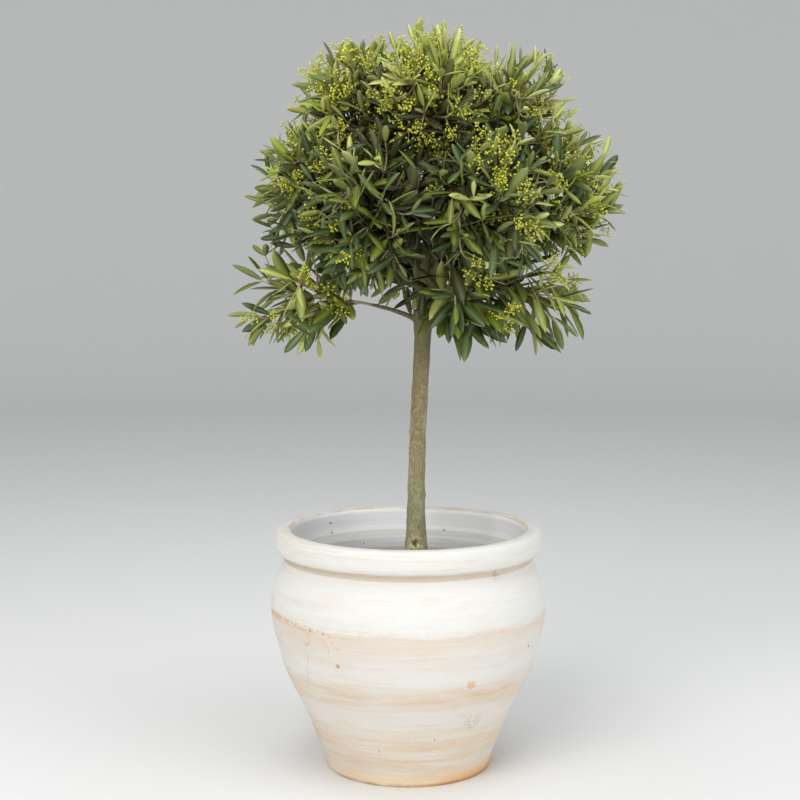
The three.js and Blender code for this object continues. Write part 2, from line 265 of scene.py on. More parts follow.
potFinish = {
    "roughness": 0.86,
    "wash": (0.785, 0.775, 0.745),
    "thinWashAndShade": (0.71, 0.56, 0.41),
    "clay": (0.66, 0.34, 0.15),
    "dirtAndShade": (0.38, 0.32, 0.22),
    # painted light: the inside wall is whiter than the wash on the outside
    "inside": (0.98, 0.99, 1.0),
    "footTint": (0.84, 0.64, 0.37),
    "dotColour": (0.075, 0.060, 0.045),
    # scale along each axis, detail and roughness
    "noises": {
        "broad": ((5, 5, 22), 3), "ways": ((7, 7, 9), 2), "rings": ((4, 4, 60), 3),
        "streaks": ((11, 11, 330), 4, 0.65), "veils": ((16, 16, 120), 5, 0.7),
        "smudges": ((10, 10, 55), 5, 0.6), "blotches": ((26, 26, 60), 5, 0.6),
        "flakes": ((170, 170, 230), 4, 0.6), "grain": ((420, 420, 420), 3, 0.6),
    },
    "mixes": {
        "scrapes": {"streaks": 0.6, "flakes": 0.4}, "pocks": {"grain": 0.35, "blotches": 0.65},
        "brushed": {"streaks": 0.5, "smudges": 0.5}, "speckles": {"flakes": 0.5, "grain": 0.5},
        "bump": {"streaks": 0.9, "veils": 0.3, "grain": 0.5},
    },
    # heights that stray by so much with the noises
    "strays": {
        "wavy": {"broad": 0.045}, "foot": {"blotches": 0.012},
        "edge": {"blotches": 0.009, "broad": 0.012, "streaks": 0.006},
    },
    # distances from a line
    "lines": {
        "upperBand": ("wavy", 0.129), "lowerBand": ("wavy", 0.040), "edgeLine": ("edge", 0.2150),
        "groove": ("height", 0.2838), "lip": ("height", 0.2896), "rimEdge": ("radius", 0.1575),
    },
    # layers: an amount, then each field that it shows in, with the levels from which and to which
    "thinnedAndShaded": [
        (0.26, "smudges", 0.50, 0.78), (0.16, "veils", 0.50, 0.70), (0.10, "streaks", 0.50, 0.66),
        (0.10, "grain", 0.50, 0.68), (0.13, "height", 0.19, 0.12),
        (0.224, "upperBand", 0.0304, 0.0057, "ways", 0.20, 0.48),
        (0.448, "upperBand", 0.0304, 0.0057, "ways", 0.20, 0.48, "brushed", 0.38, 0.62),
        (0.232, "lowerBand", 0.0672, 0.0126, "ways", 0.20, 0.48),
        (0.464, "lowerBand", 0.0672, 0.0126, "ways", 0.20, 0.48, "brushed", 0.38, 0.62),
        (0.225, "edge", 0.2170, 0.2115, "edge", 0.160, 0.210),
        (0.30, "edge", 0.2170, 0.2115, "edge", 0.160, 0.210, "ways", 0.36, 0.54),
        # the groove under the rim: painted shade, partly dirt
        (0.62, "groove", 0.0052, 0.0030), (0.25, "lip", 0.0022, 0.0006),
        (0.4, "lip", 0.0022, 0.0006, "blotches", 0.42, 0.60),
        (0.8, "rimEdge", 0.0035, 0.0012, "height", 0.300, 0.315, "blotches", 0.42, 0.60),
        (0.30, "height", 0.290, 0.294, "streaks", 0.52, 0.66),
    ],
    "footed": [(0.60, "foot", 0.026, 0.004), (0.35, "foot", 0.026, 0.004, "side", 0.0, 0.07)],
    "bared": [
        (0.20, "edgeLine", 0.0075, 0.0010, "scrapes", 0.50, 0.57),
        (0.52, "edgeLine", 0.0075, 0.0010, "scrapes", 0.50, 0.57, "side", -0.04, -0.13),
        (0.45, "pocks", 0.66, 0.74, "streaks", 0.5, 0.6),
        (0.7, "height", 0.0060, 0.0022, "blotches", 0.40, 0.52),
        (0.62, "height", 0.0180, 0.0040, "side", 0.02, 0.08),
    ],
    # The inside wall is a whiter copy of the wash, as painted light.
    "within": [(1, "radius", 0.1563, 0.1549, "height", 0.23, 0.24)],  # the wall seen from inside
    # rings of dirt round the inside wall, and painted shade as it nears the soil
    "ringedAndShaded": [(0.16, "rings", 0.46, 0.66), (0.35, "height", 0.262, 0.242)],
    # painted shade in the groove under the rim, partly dirt
    "grimedAndShaded": [(0.22, "groove", 0.0052, 0.0030)],
    "speckled": [(1, "speckles", 0.47, 0.56)],
    "mostDirtAndShade": 0.8,
    # place, size and amount
    "chips": [((-0.0886, -0.1508, 0.1703), 0.0034, 0.9), ((0.0773, -0.1492, 0.1465), 0.0070, 0.50),
              ((-0.1069, -0.1477, 0.2105), 0.0022, 0.8), ((-0.1230, -0.1330, 0.2130), 0.0040, 0.6),
              ((-0.0980, -0.1530, 0.2080), 0.0018, 0.7), ((-0.0500, 0.1460, 0.3160), 0.0045, 0.5),
              ((-0.0378, -0.1207, 0.0514), 0.0026, 0.6), ((0.0328, -0.1299, 0.0696), 0.0020, 0.8)],
    "chipRagged": 1.6,
    "stains": [((0.0815, -0.1168, 0.0894), 0.017, 0.34), ((0.1083, -0.1239, 0.2806), 0.009, 0.5)],
    "stainRagged": 0.8,
    "dots": [(0.1537, -0.0893, 0.1810), (-0.108, 0.110, 0.3045), (-0.107, 0.111, 0.2905),
             (-0.043, 0.148, 0.2819), (-0.063, 0.141, 0.2702), (0.052, 0.145, 0.2880)],
    "dotSize": (0.0018, 0.001),  # and how ragged
    # turn about the axis at the top, turn in a metre of height, top, bottom
    "drips": [(-2.321, 1.80, 0.2120, 0.1200), (-2.120, -2.1, 0.2080, 0.1760), (-2.215, -2.4, 0.2070, 0.1640)],
    "dripNoise": ((60, 60, 75), 3),
    "dripStray": (0.16, 0.020),  # by that noise and by the flakes
    "dripWidth": (0.0120, 0.0020),
    "dripEnds": (0.006, 0.03),
    "dripAmount": 0.55,
    "bump": (0.5, 0.0012),
}


def noisesOf(finish, place):
    return {name: noiseOf(place, *kind) for name, kind in finish["noises"].items()}


# The sum of several noises, each about a level and by its weight.
def weighted(noises, weights, level=0):
    return sum((noises[name] - level) * weight for name, weight in weights.items())


def fieldsOf(finish, place):
    fields = noisesOf(finish, place)
    for name, weights in finish["mixes"].items():
        fields[name] = weighted(fields, weights)
    fields["side"] = place.axis("X")
    fields["height"] = place.axis("Z")
    fields["radius"] = place.vectors("MULTIPLY", (1, 1, 0)).vectors("LENGTH", output="Value")
    for name, weights in finish["strays"].items():
        fields[name] = weighted(fields, weights, 0.5) + fields["height"]
    for name, (field, level) in finish["lines"].items():
        fields[name] = fields[field].offFrom(level)
    return fields


def layered(rows, fields):
    total = 0
    for amount, *shown in rows:
        layer = amount
        for name, low, high in zip(shown[::3], shown[1::3], shown[2::3]):
            layer = between(fields[name], low, high) * layer
        total = layer + total
    return total


def spotsOf(place, spots, ragged, grain):
    return sum(spotAt(place, centre, size, size * ragged, grain) * amount for centre, size, amount in spots)


# Runs of dirty water: thin lines that lean a little as they come down the wall.
def dripsOf(finish, place, fields):
    height = fields["height"]
    wander, ragged = finish["dripStray"]
    turn = place.maths("ARCTAN2", place.axis("Y"), fields["side"])
    turn = turn + (noiseOf(place, *finish["dripNoise"]) - 0.5) * wander
    starting, ending = finish["dripEnds"]
    drips = 0
    for start, lean, top, bottom in finish["drips"]:
        off = (turn - (height - top) * lean).offFrom(start) + (fields["flakes"] - 0.5) * ragged
        run = between(off, *finish["dripWidth"]) * between(height, bottom, bottom + ending)
        drips = run * between(height, top, top - starting) + drips
    return drips * finish["dripAmount"]


def whitewashedClay():
    finish = potFinish
    material, shader = newMaterial("whitewashed_clay", finish["wash"], finish["roughness"])
    place = placeOf(material)
    fields = fieldsOf(finish, place)
    thinAndShaded = layered(finish["thinnedAndShaded"], fields) + dripsOf(finish, place, fields)
    colour = blended(thinAndShaded, finish["wash"], finish["thinWashAndShade"])
    colour = blended(layered(finish["footed"], fields), colour, finish["footTint"])
    chips = spotsOf(place, finish["chips"], finish["chipRagged"], fields["flakes"])
    colour = blended(layered(finish["bared"], fields) + chips, colour, finish["clay"])
    # the inside wall: a whiter wash as painted light, with rings of dirt and painted shade near the soil
    inside = blended(layered(finish["ringedAndShaded"], fields), finish["inside"], finish["thinWashAndShade"])
    colour = blended(layered(finish["within"], fields), colour, inside)
    stains = spotsOf(place, finish["stains"], finish["stainRagged"], fields["flakes"])
    # painted shade in the groove under the rim, partly dirt, added to the real stains and speckles
    soiledAndShaded = layered(finish["grimedAndShaded"], fields) + stains * layered(finish["speckled"], fields)
    colour = blended(soiledAndShaded.maths("MINIMUM", soiledAndShaded, finish["mostDirtAndShade"]), colour, finish["dirtAndShade"])
    for centre in finish["dots"]:
        dot = spotAt(place, centre, *finish["dotSize"], fields["grain"])
        colour = blended(dot, colour, finish["dotColour"])
    linkColour(shader, colour, fields["bump"], *finish["bump"])
    return material


soilFinish = {
    "roughness": 0.95,
    "base": (0.018, 0.012, 0.008),
    "dark": (0.018, 0.012, 0.008),
    "pale": (0.075, 0.048, 0.030),
    "patches": ((150, 150, 150), 5, 0.65),
    "fade": (0.4, 0.68),
    "grain": ((150, 150, 150), 5, 0.65),
    "bump": (0.7, 0.002),  # strength and depth
}
twigFinish = {
    "roughness": 0.75,
    "base": (0.30, 0.235, 0.12),
    "dark": (0.24, 0.175, 0.085),
    "pale": (0.43, 0.36, 0.20),
    "patches": ((45, 45, 45), 3),
    "fade": (0.4, 0.62),
    "grain": ((600, 600, 600), 2),
    "bump": (0.4, 0.0006),
}


def patchyMaterial(name, finish):
    material, shader = newMaterial(name, finish["base"], finish["roughness"])
    place = placeOf(material)
    patches = between(noiseOf(place, *finish["patches"]), *finish["fade"])
    colour = blended(patches, finish["dark"], finish["pale"])
    linkColour(shader, colour, noiseOf(place, *finish["grain"]), *finish["bump"])
    return material


barkFinish = {
    "roughness": 0.82,
    "dark": (0.095, 0.078, 0.045),
    "base": (0.285, 0.262, 0.135),
    "pale": (0.50, 0.48, 0.31),
    "brown": (0.222, 0.163, 0.078),
    "green": (0.21, 0.23, 0.075),
    "folds": (0.62, 0.58, 0.34),
    "heartwood": (0.42, 0.22, 0.085),
    "pit": (0.035, 0.022, 0.012),
    "noises": {
        "patches": ((70, 70, 22), 4, 0.6), "mottle": ((310, 310, 260), 4, 0.65),
        "fibres": ((420, 420, 60), 4, 0.6), "flecks": ((520, 520, 900), 2, 0.5),
        "knobs": ((330, 330, 380), 3, 0.6),
    },
    "brownFrom": (0.34, 0.50, 0.90),  # heights, and amount
    "evenFrom": (0.40, 0.56, 0.6),  # the pale mottle fades above
    "greenFrom": (0.50, 0.62, 0.5),
    "shade": [(0.47, 0.59, 0.48), (0.74, 0.64)],  # painted shade about the fork, where the crown shades the stem and boughs
    # noise, from, to, amount and colour
    "layers": [("patches", 0.38, 0.66, 0.60, "pale"), ("mottle", 0.50, 0.64, 0.42, "pale"),
               ("mottle", 0.46, 0.34, 0.48, "dark"), ("fibres", 0.56, 0.72, 0.5, "dark"),
               ("flecks", 0.66, 0.72, 0.8, "dark")],
    # the scar's parts: height above its middle, size and raggedness
    "swollen": (-0.004, 0.0165, 0.010),
    "wood": (0.0014, 0.00506, 0.006),
    "hollow": (-0.0004, 0.00374, 0.0065),
    "swollenTop": (0.29, 0.27, 0.5),
    "foldsIn": (0.47, 0.56, 0.9),
    "relief": {"fibres": 0.5, "flecks": 0.4, "mottle": 0.5},
    "bump": (0.7, 0.0014),
}


# The place where a low shoot was cut off: a ragged pit in pale, swollen bark.
def cutScar(finish, place, scarPlace, knobs, colour):
    def part(name):
        rise, size, ragged = finish[name]
        return spotAt(place, scarPlace + up * rise, size, ragged, knobs)
    swollen = part("swollen")
    greener = swollen * between(place.axis("Z"), *finish["swollenTop"])
    colour = blended(greener, colour, finish["green"])
    colour = blended(swollen * between(knobs, *finish["foldsIn"]), colour, finish["folds"])
    colour = blended(part("wood"), colour, finish["heartwood"])
    return blended(part("hollow"), colour, finish["pit"])


def oliveBark(scarPlace):
    finish = barkFinish
    material, shader = newMaterial("olive_bark", finish["base"], finish["roughness"])
    place = placeOf(material)
    height = place.axis("Z")
    noises = noisesOf(finish, place)
    colour = blended(between(height, *finish["brownFrom"]), finish["base"], finish["brown"])
    weathered = 1 - between(height, *finish["evenFrom"])
    for name, low, high, amount, tint in finish["layers"]:
        share = between(noises[name], low, high, amount)
        colour = blended(share * weathered if tint == "pale" else share, colour, finish[tint])
    colour = blended(between(height, *finish["greenFrom"]), colour, finish["green"])
    # painted shade about the fork, under the crown
    rising, falling = (between(height, *heights) for heights in finish["shade"])
    colour = blended(rising * falling, colour, finish["dark"])
    colour = cutScar(finish, place, scarPlace, noises["knobs"], colour)
    linkColour(shader, colour, weighted(noises, finish["relief"]), *finish["bump"])
    return material


# The tones of leaves: the upper side, the midrib on it, and the underside.
leafTones = {
    "deep": ((0.055, 0.092, 0.026), (0.125, 0.165, 0.060), (0.22, 0.26, 0.080)),
    "olive": ((0.148, 0.184, 0.020), (0.23, 0.27, 0.056), (0.32, 0.355, 0.085)),
    "grey": ((0.096, 0.145, 0.038), (0.17, 0.22, 0.070), (0.34, 0.39, 0.125)),
    "sage": ((0.43, 0.48, 0.115), (0.52, 0.56, 0.19), (0.60, 0.62, 0.23)),
    "fresh": ((0.36, 0.45, 0.045), (0.46, 0.53, 0.09), (0.55, 0.59, 0.13)),
    # painted shade: the dark tone of leaves deep in the crown
    "shadedInner": ((0.045, 0.050, 0.011), (0.06, 0.07, 0.02), (0.10, 0.112, 0.032)),
    "old": ((0.42, 0.34, 0.03), (0.50, 0.42, 0.10), (0.42, 0.36, 0.07)),
}
leafSides = {"upper": 0.42, "rib": 0.5, "under": 0.7}  # the roughness of each
bloomTones = {  # colour and roughness
    "stalk": ((0.36, 0.37, 0.07), 0.6),
    "bud": ((0.61, 0.62, 0.045), 0.5),
    "petal": ((0.80, 0.79, 0.55), 0.6),
}
toneOrder = list(leafTones)


def leafMaterials():
    return [newMaterial(f"leaf_{name}_{side}", colour, roughness)[0] for name, tone in leafTones.items()
            for colour, (side, roughness) in zip(tone, leafSides.items())]


def bloomMaterials():
    return [newMaterial(f"bloom_{name}", *tone)[0] for name, tone in bloomTones.items()]


def newPiece(name, bm, materials, smooth=True):
    mesh = bpy.data.meshes.new(name)
    bm.to_mesh(mesh)
    bm.free()
    return pieceFrom(name, mesh, materials, smooth)


def pieceFrom(name, mesh, materials, smooth=True):
    mesh.name = name
    if smooth:
        mesh.shade_smooth()
    else:
        mesh.shade_flat()
    for material in materials:
        mesh.materials.append(material)
    return intoScene(name, mesh)


# The mesh that an object shows with its modifiers, or that a curve makes.
def shownMesh(thing):
    return bpy.data.meshes.new_from_object(thing.evaluated_get(bpy.context.evaluated_depsgraph_get()))


def dress(piece, slot, *nodes):
    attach(piece, "root")
    if nodes:
        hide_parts(*nodes)
    print(f"{piece.name}: {len(piece.data.polygons)} faces")


# A smooth line through the stations, in steps of about the given length.
def smoothThrough(stations, step):
    points = [Vector(station) for station in stations]
    slopes = []
    for i, point in enumerate(points):
        before, after = points[max(i - 1, 0)], points[min(i + 1, len(points) - 1)]
        slopes.append((after - before).normalized())
    line = [points[0]]
    for i in range(len(points) - 1):
        span = (points[i + 1] - points[i]).length
        count = max(2, round(span / step) + 1)
        handles = points[i] + slopes[i] * span / 3, points[i + 1] - slopes[i + 1] * span / 3
        line += geometry.interpolate_bezier(points[i], *handles, points[i + 1], count)[1:]
    return line


pot = {
    "foot": [(0, 0), (0.060, 0), (0.1075, 0)],
    "side": [(0.1100, 0.0025), (0.1112, 0.010), (0.1132, 0.018), (0.1218, 0.039), (0.1317, 0.064),
             (0.1423, 0.089), (0.1547, 0.113), (0.1658, 0.138), (0.1730, 0.163), (0.1794, 0.187),
             (0.1825, 0.209), (0.1812, 0.232), (0.1748, 0.256), (0.1672, 0.273), (0.1645, 0.2815),
             (0.1650, 0.2862), (0.1700, 0.2885), (0.1745, 0.2915), (0.1760, 0.2965), (0.1763, 0.3060),
             (0.1757, 0.3140), (0.1728, 0.3187), (0.1670, 0.3200), (0.1600, 0.3196), (0.1562, 0.3180),
             (0.1547, 0.3140), (0.1545, 0.2950), (0.1530, 0.2865), (0.1517, 0.2770), (0.1600, 0.2480),
             (0.1685, 0.2090), (0.1655, 0.1870), (0.1520, 0.1380), (0.1285, 0.0890), (0.1000, 0.0200)],
    "floor": [(0.0970, 0.0180), (0.050, 0.0180), (0, 0.0180)],
    "step": 0.0022,
    "sides": 160,
    # height, and the noise's scale round the pot and up it
    "ridge": (0.00035, 0.8, 210),
    "uneven": (0.0012, 1.1, 9),
    "even": 0.1,  # the floor within this radius and the foot below this height stay as they are
    "flat": 0.001,
}


def buildPot(material):
    outline = [Vector(point) for point in pot["foot"]]
    outline += smoothThrough(pot["side"], pot["step"])
    outline += [Vector(point) for point in pot["floor"]]
    bm = turned(outline, pot["sides"])
    for vert in bm.verts:
        radius = vert.co.xy.length
        if radius < pot["even"] or vert.co.z < pot["flat"]:
            continue
        out = Vector((vert.co.x, vert.co.y, 0)) / radius
        for name in ("ridge", "uneven"):
            far, around, upwards = pot[name]
            far *= noise.noise(Vector((out.x * around, out.y * around, vert.co.z * upwards)))
            vert.co += out * far
    dress(newPiece("thrown_pot", bm, [material]), "terracotta", "pot")


soil = {
    "level": 0.2400,
    "radius": 0.1585,
    "lowRadius": 0.094,
    "widest": 0.205,  # height at which it reaches its full radius
    "rings": 52,
    "sides": 120,
    "relief": 0.0035,
    "sunk": 0.002,
    "clods": (70, 0.7, 2.2, 4),  # scale, and the fractal's roughness, step and octaves
    "crumbs": 900,
    "crumbSize": (0.0012, 0.0042),
    "crumbShape": ((0.5, 1), (0.35, 0.8)),  # width and height against length
    "crumbSunk": 0.0005,
    "crumbEdge": 0.985,
    "stem": (0.010, 0, 0.027),  # middle and radius of the stem's place
}


def buildSoil(material, random):
    rings = [soil["radius"] * i / soil["rings"] for i in range(soil["rings"] + 1)]
    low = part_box("soil")[0].z
    outline = [(0, low), (soil["lowRadius"], low), (soil["radius"], soil["widest"])]
    bm = turned(outline + [(ring, soil["level"]) for ring in reversed(rings)], soil["sides"])
    scale, *fractal = soil["clods"]
    for vert in [vert for vert in bm.verts if vert.co.z > soil["level"] - 0.001]:
        vert.co.z += noise.fractal(vert.co * scale, *fractal) * soil["relief"] - soil["sunk"]
    dress(newPiece("soil_bed", bm, [material]), "soil", "soil")
    bm = bmesh.new()
    for i in range(soil["crumbs"]):
        away = soil["radius"] * math.sqrt(random()) * soil["crumbEdge"]
        turn = random() * 2 * math.pi
        size = lerp(*soil["crumbSize"], random() ** 2)
        place = Vector((away * math.cos(turn), away * math.sin(turn), soil["level"] - soil["crumbSunk"]))
        if (place.xy - Vector(soil["stem"][:2])).length < soil["stem"][2]:
            continue
        turnedBy = Matrix.Rotation(random() * anyTurn, 4, "X") @ Matrix.Rotation(random() * anyTurn, 4, "Z")
        width, height = (size * lerp(*shares, random()) for shares in soil["crumbShape"])
        shape = Matrix.Diagonal((size, width, height, 1))
        bmesh.ops.create_icosphere(bm, subdivisions=1, radius=1,
                                   matrix=Matrix.Translation(place) @ turnedBy @ shape)
    dress(newPiece("soil_crumbs", bm, [material], smooth=False), "soil")


# Each mass of foliage fills an ellipsoid about its centre as far as the middle planes to its
# neighbours. Its bough springs from another limb, at a share of that limb's length; lift is how
# much its twigs turn up, bloom how many of its sprays bear panicles, young how many are new, and
# loose how much further apart they stand.
massKeys = ("centre", "reach", "parent", "at", "radius", "lift", "bloom", "young", "loose")
masses = {
    "top_left": ((-0.062, 0.006, 0.874), (0.098, 0.092, 0.095), "trunk", 0.97, 0.0075, 0.5, 0.8, 0.62, 1.08),
    "top_right": ((0.128, 0.003, 0.864), (0.096, 0.092, 0.094), "trunk", 0.97, 0.0075, 0.4, 0.6, 0.6, 1.08),
    "top_front": ((0.028, -0.056, 0.884), (0.098, 0.088, 0.096), "trunk", 0.99, 0.0065, 0.6, 0.7, 0.66, 1.08),
    "top_back": ((0.045, 0.070, 0.868), (0.1, 0.09, 0.094), "top_front", 0.3, 0.005, 0.5, 0.5, 0.55, 1),
    "left": ((-0.118, 0.008, 0.758), (0.098, 0.098, 0.112), "top_left", 0.42, 0.0046, 0.25, 0.22, 0.32, 1),
    "right": ((0.186, 0, 0.76), (0.106, 0.098, 0.104), "top_right", 0.42, 0.0048, 0.15, 0.55, 0.42, 1),
    "front_left": ((-0.046, -0.098, 0.738), (0.102, 0.096, 0.116), "top_left", 0.26, 0.0046, 0, 0.16, 0.2, 1),
    "front_right": ((0.096, -0.104, 0.744), (0.1, 0.094, 0.108), "top_right", 0.26, 0.0046, 0, 0.22, 0.2, 1),
    "back_left": ((-0.048, 0.106, 0.758), (0.104, 0.09, 0.1), "top_left", 0.34, 0.0046, 0, 0.2, 0.2, 1),
    "back_right": ((0.112, 0.106, 0.752), (0.104, 0.09, 0.1), "top_right", 0.34, 0.0046, 0, 0.2, 0.2, 1),
    "lower_left": ((-0.144, -0.014, 0.626), (0.104, 0.094, 0.088),
                   "trunk", 0.95, 0.0042, -0.3, 0.3, 0.34, 2.1),
    "lower_front": ((0.074, -0.084, 0.63), (0.082, 0.092, 0.092),
                    "trunk", 0.96, 0.004, -0.5, 0.28, 0.08, 2.05),
    "lower_right": ((0.162, -0.012, 0.634), (0.096, 0.095, 0.094),
                    "top_right", 0.14, 0.0042, -0.4, 0.16, 0.38, 2.15),
    "lower_back": ((0.03, 0.104, 0.662), (0.108, 0.094, 0.076), "trunk", 0.93, 0.004, -0.2, 0.1, 0.12, 1.2),
}
masses = {name: dict(zip(massKeys, row)) for name, row in masses.items()}
tiers = {
    "upper": ["top_left", "top_right", "top_front", "top_back"],
    "middle": ["left", "right", "front_left", "front_right", "back_left", "back_right"],
    "lower": ["lower_left", "lower_front", "lower_right", "lower_back"],
}
trunk = {
    "radius": 0.0108,
    "flare": 0.014,
    "flareHeight": 0.045,
    "headSwell": 0.0026,
    "headDepth": 0.050,
    "step": 0.004,
    "line": [(0.010, 0, 0.2403), (0.0105, 0, 0.300), (0.0105, 0.001, 0.365), (0.013, 0.002, 0.455),
             (0.018, 0.002, 0.555), (0.020, 0.001, 0.608)],
}
bough = {
    "taper": 0.5,
    "lean": 0.3,
    "spring": 0.42,
    "lowSpring": 0.12,
    "parentShare": 0.86,
    "step": 0.01,  # share of the way, by which the mass's edge is sought
}
twig = {
    "count": 8,
    "radius": 0.0021,
    "spread": (-0.75, 0.97),  # cosine of the angle off the stem, from the first twig to the last
    "roots": (0.12, 0.97),
    "turnJitter": 0.8,
    "lift": 0.35,
    "bow": 0.06,
    "leafRoom": 0.0465,  # between the twig's tip and the edge of the mass's space
    "shortest": 0.012,
    "clearance": 0.0008,
    "ballStep": 0.005,
    "reaches": [1 - 0.05 * step for step in range(12)],
    "tests": (0.2, 0.4, 0.6, 0.8, 1),
}


class Line:  # a limb's middle line, walked by its length
    def __init__(self, points):
        self.points = points
        self.walked = [0]
        for start, end in zip(points, points[1:]):
            self.walked.append(self.walked[-1] + (end - start).length)
        self.length = self.walked[-1]

    def stretch(self, share):
        target = min(max(share, 0), 1) * self.length
        i = min(max(bisect(self.walked, target) - 1, 0), len(self.points) - 2)
        return i, (target - self.walked[i]) / (self.walked[i + 1] - self.walked[i])

    def at(self, share):
        i, part = self.stretch(share)
        return self.points[i].lerp(self.points[i + 1], part)

    def along(self, share):
        i, part = self.stretch(share)
        return (self.points[i + 1] - self.points[i]).normalized()


def bentLine(start, bend, end, count=24):
    points = []
    for i in range(count + 1):
        share = i / count
        points.append(start.lerp(bend, share).lerp(bend.lerp(end, share), share))
    return Line(points)


# Park and Miller's generator, so that a seed always grows the same twigs.
def seededRandom(seed):
    state = seed * 48271 % 2147483647

    def draw():
        nonlocal state
        state = state * 16807 % 2147483647
        return state / 2147483647
    return draw


# A direction at an angle from an axis, turned about it.
def aside(axis, angle, turn):
    helper = Vector((1, 0, 0)) if abs(axis.z) > 0.9 else up
    first = axis.cross(helper).normalized()
    second = axis.cross(first)
    return (axis * math.cos(angle) + first * math.sin(angle) * math.cos(turn)
            + second * math.sin(angle) * math.sin(turn))


def spacePlanes(name):
    centre = Vector(masses[name]["centre"])
    planes = []
    for other, mass in masses.items():
        if other != name:
            across = Vector(mass["centre"]) - centre
            planes.append((across.normalized(), across.length / 2))
    return planes


for massName, mass in masses.items():
    mass["planes"] = spacePlanes(massName)


# True in the mass's ellipsoid and on its side of the middle planes, at least the margin inside.
# Fine leaves may pass the planes by the overlap, so that neighbouring masses close up.
def inSpace(mass, point, margin, overlap=0):
    offset = point - Vector(mass["centre"])
    scaled = [part / (reach - margin) for part, reach in zip(offset, mass["reach"])]
    if sum(part * part for part in scaled) > 1:
        return False
    return all(offset.dot(across) < half - margin + overlap for across, half in mass["planes"])


def growTrunk():
    line = Line(smoothThrough(trunk["line"], trunk["step"]))
    bottom, top = trunk["line"][0][2], trunk["line"][-1][2]

    def radiusAt(share):
        height = line.at(share).z
        flare = trunk["flare"] * math.exp((bottom - height) / trunk["flareHeight"])
        swell = trunk["headSwell"] * smoothStep(height, top - trunk["headDepth"], top)
        return trunk["radius"] + flare + swell
    return {"line": line, "radiusAt": radiusAt}


def growBough(mass, parent):
    root = parent["line"].at(mass["at"])
    centre = Vector(mass["centre"])
    spring = bough["lowSpring"] if mass["lift"] < 0 else bough["spring"]
    bend = root.lerp(centre, bough["lean"])
    bend += parent["line"].along(mass["at"]) * spring * (centre - root).length
    whole = lambda share: root.lerp(bend, share).lerp(bend.lerp(centre, share), share)
    entry = 0
    while not inSpace(mass, whole(entry), mass["radius"]):
        entry += bough["step"]
    rootRadius = min(mass["radius"], parent["radiusAt"](mass["at"]) * bough["parentShare"])
    return {
        "line": bentLine(root, root.lerp(bend, entry), whole(entry)),
        "stem": bentLine(whole(entry), bend.lerp(centre, entry), centre),
        "radiusAt": lambda share: rootRadius * (1 - (1 - bough["taper"]) * share),
    }


def growLimbs():
    limbs = {"trunk": growTrunk()}
    for name, mass in masses.items():
        limbs[name] = growBough(mass, limbs[mass["parent"]])
    return limbs


# Balls along every limb, which twigs and leaves keep clear of.
def limbBalls(limbs):
    balls = []
    for limb in limbs.values():
        count = math.ceil(limb["line"].length / twig["ballStep"])
        balls += [(limb["line"].at(i / count), limb["radiusAt"](i / count)) for i in range(count + 1)]
    tree = KDTree(len(balls))
    for i, (centre, radius) in enumerate(balls):
        tree.insert(centre, i)
    tree.balance()
    widest = max(radius for centre, radius in balls)
    return {"tree": tree, "radii": [radius for centre, radius in balls], "widest": widest}


def clearOfLimbs(balls, point, room):
    near = balls["tree"].find_range(point, balls["widest"] + room)
    return all(distance > balls["radii"][i] + room for place, i, distance in near)


def isFree(mass, balls, point, radius):
    return (inSpace(mass, point, radius + twig["clearance"])
            and clearOfLimbs(balls, point, radius + 3 * twig["clearance"]))


# The stem runs from its bough's tip to the middle of the space. Twigs spring from it in a
# golden-angle spiral and end evenly spread through the space, a leaf short of its edge.
def growTwigs(mass, stem, balls, random):
    centre = Vector(mass["centre"])
    twigs = [stem]
    axis = stem.along(0.5)
    for i in range(twig["count"]):
        share = (i + 0.5) / twig["count"]
        angle = math.acos(lerp(*twig["spread"], share))
        out = aside(axis, angle, i * goldenAngle + random() * twig["turnJitter"])
        out = (out + up * twig["lift"] * mass["lift"]).normalized()
        root = stem.at(lerp(*twig["roots"], share))
        for reach in twig["reaches"]:
            edge = centre + out * Vector(mass["reach"]) * reach
            tip = edge - out * twig["leafRoom"]
            free = all(isFree(mass, balls, root.lerp(tip, part), twig["radius"]) for part in twig["tests"])
            if free and (tip - root).length > twig["shortest"] and isFree(mass, balls, edge, 0):
                bow = aside(out, math.pi / 2, random() * anyTurn) * (tip - root).length * twig["bow"]
                twigs.append(bentLine(root, root.lerp(tip, 0.5) + bow, tip, 8))
                break
    return twigs


# The finer growth: sprays of leaves, and panicles in their axils.
spray = {
    "tries": 3200,
    "spacing": 0.0255,  # between the tips of sprays
    "hollow": 0.05,  # share of the reach within which no spray ends
    "tipRoom": 0.022,  # between a spray's tip and the edge of the space
    "limbRoom": 0.008,
    "overlap": 0.030,
    "heart": (0.022, 0.0, 0.76),  # the sprays turn away from here as they end
    "longest": 0.13,
    "shortest": 0.012,
    "leafy": 0.070,  # the length of a spray that bears leaves
    "twigRadius": 0.0026,
    "radius": 0.0016,
    "tipRadius": 0.0007,
    "twigJoints": (0.3, 0.5, 0.7, 0.85),  # where sprays spring from a twig
    "joints": (0.35, 0.65),  # and where from a spray
    "straight": 1.7,  # the lower, the straighter on they grow
    "ending": {"out": 0.7, "onward": 0.45, "lift": 0.9, "up": 0.3, "wander": 1.2},
    "bend": (0.55, 0.3, 0.3),  # how far it lies from the tip and from the root, and the root's share
}
